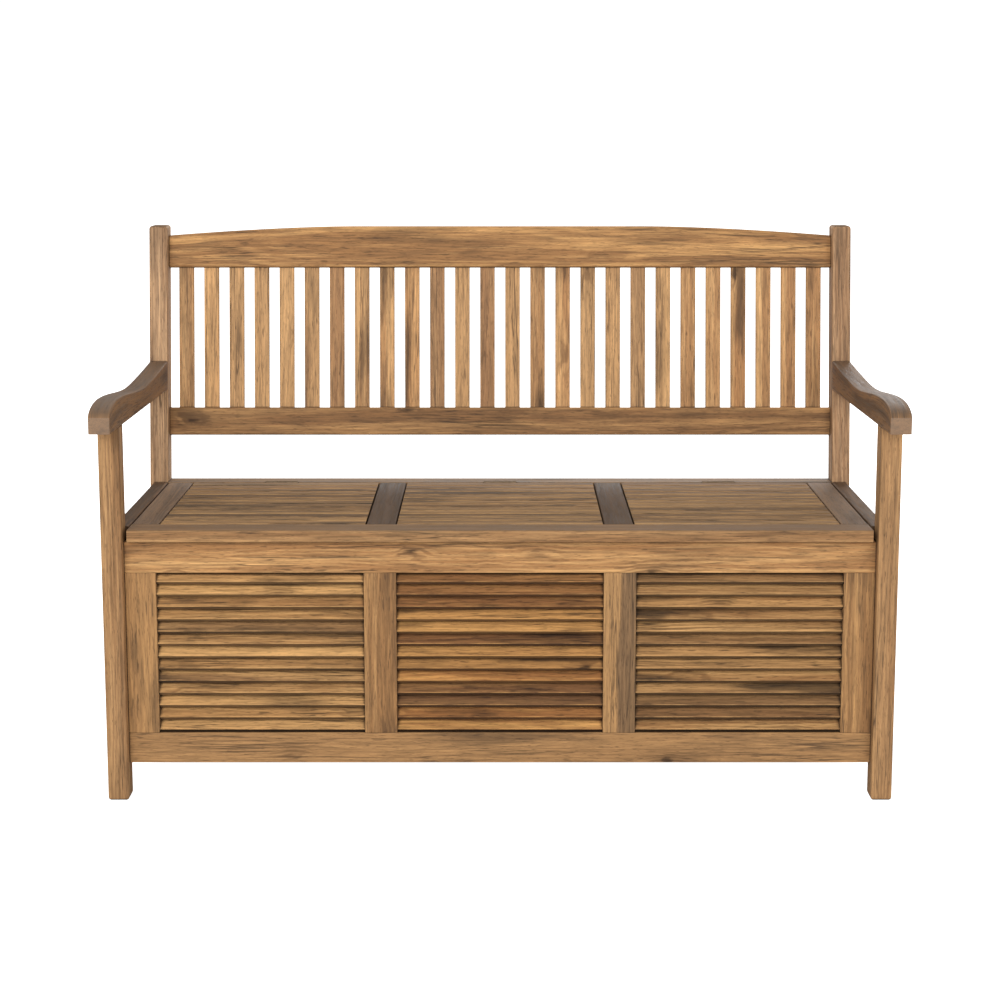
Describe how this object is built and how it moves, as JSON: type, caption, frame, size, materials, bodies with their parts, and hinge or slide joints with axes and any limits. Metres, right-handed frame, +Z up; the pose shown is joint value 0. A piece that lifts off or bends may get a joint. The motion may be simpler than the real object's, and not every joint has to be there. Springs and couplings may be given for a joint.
{
  "type": "storage bench",
  "caption": "Outdoor wooden storage bench: louvred box under a slatted seat lid that lifts on rear hinges, with curved arms and a slatted reclined back.",
  "frame": {"origin": "middle of the bounding box at the ground, under the feet", "axes": "+X along the bench towards its left-hand end as seen by a sitter, -Y out of the front, +Z up"},
  "size_m": [1.2978, 0.6688, 0.918],
  "materials": {
    "acacia_warm": "oiled, warm golden brown with dark streaks and knots",
    "acacia_dark": "oiled, red-brown heartwood",
    "acacia_weathered": "oiled, grey-brown upper faces",
    "acacia_inside": "sawn, unoiled",
    "hinge_steel": "dull zinc plated"
  },
  "bodies": {
    "frame": {"front_leg_left": "acacia_warm", "front_leg_right": "acacia_warm", "back_post_left": "acacia_warm", "back_post_right": "acacia_warm", "armrest_left": "acacia_weathered", "armrest_right": "acacia_weathered", "crest_rail": "acacia_dark", "lower_back_rail": "acacia_dark", "back_slats": "acacia_warm", "front_top_rail": "acacia_warm", "front_bottom_rail": "acacia_warm", "front_end_stile_left": "acacia_warm", "front_end_stile_right": "acacia_warm", "front_middle_stile_left": "acacia_warm", "front_middle_stile_right": "acacia_warm", "front_louvres_left": "acacia_warm", "front_louvres_middle": "acacia_warm", "front_louvres_right": "acacia_warm", "back_top_rail": "acacia_warm", "back_bottom_rail": "acacia_warm", "back_end_stile_left": "acacia_warm", "back_end_stile_right": "acacia_warm", "back_middle_stile_left": "acacia_warm", "back_middle_stile_right": "acacia_warm", "back_louvres_left": "acacia_warm", "back_louvres_middle": "acacia_warm", "back_louvres_right": "acacia_warm", "side_top_rail_left": "acacia_weathered", "side_top_rail_right": "acacia_weathered", "side_bottom_rail_left": "acacia_warm", "side_bottom_rail_right": "acacia_warm", "side_stiles_left": "acacia_warm", "side_stiles_right": "acacia_warm", "side_louvres_left": "acacia_warm", "side_louvres_right": "acacia_warm", "rear_seat_rail": "acacia_weathered", "lid_ledgers": "acacia_inside", "floor_ledgers": "acacia_inside", "floor_slats": "acacia_inside", "hinge_leaves_frame": "hinge_steel", "hinge_pins": "hinge_steel", "hinge_screws_frame": "hinge_steel"},
    "lid": {"lid_front_rail": "acacia_weathered", "lid_end_stile_left": "acacia_weathered", "lid_end_stile_right": "acacia_weathered", "lid_middle_stile_left": "acacia_weathered", "lid_middle_stile_right": "acacia_weathered", "lid_slats_left": "acacia_weathered", "lid_slats_middle": "acacia_weathered", "lid_slats_right": "acacia_weathered", "lid_back_batten": "acacia_inside", "hinge_leaves_lid": "hinge_steel", "hinge_screws_lid": "hinge_steel"}
  },
  "joints": [
    {"name": "lid_hinge", "type": "hinge", "parent": "frame", "child": "lid", "pos_m": [0, 0.21767, 0.4535], "axis": [-1, 0, 0], "range_deg": [0, 100]}
  ]
}
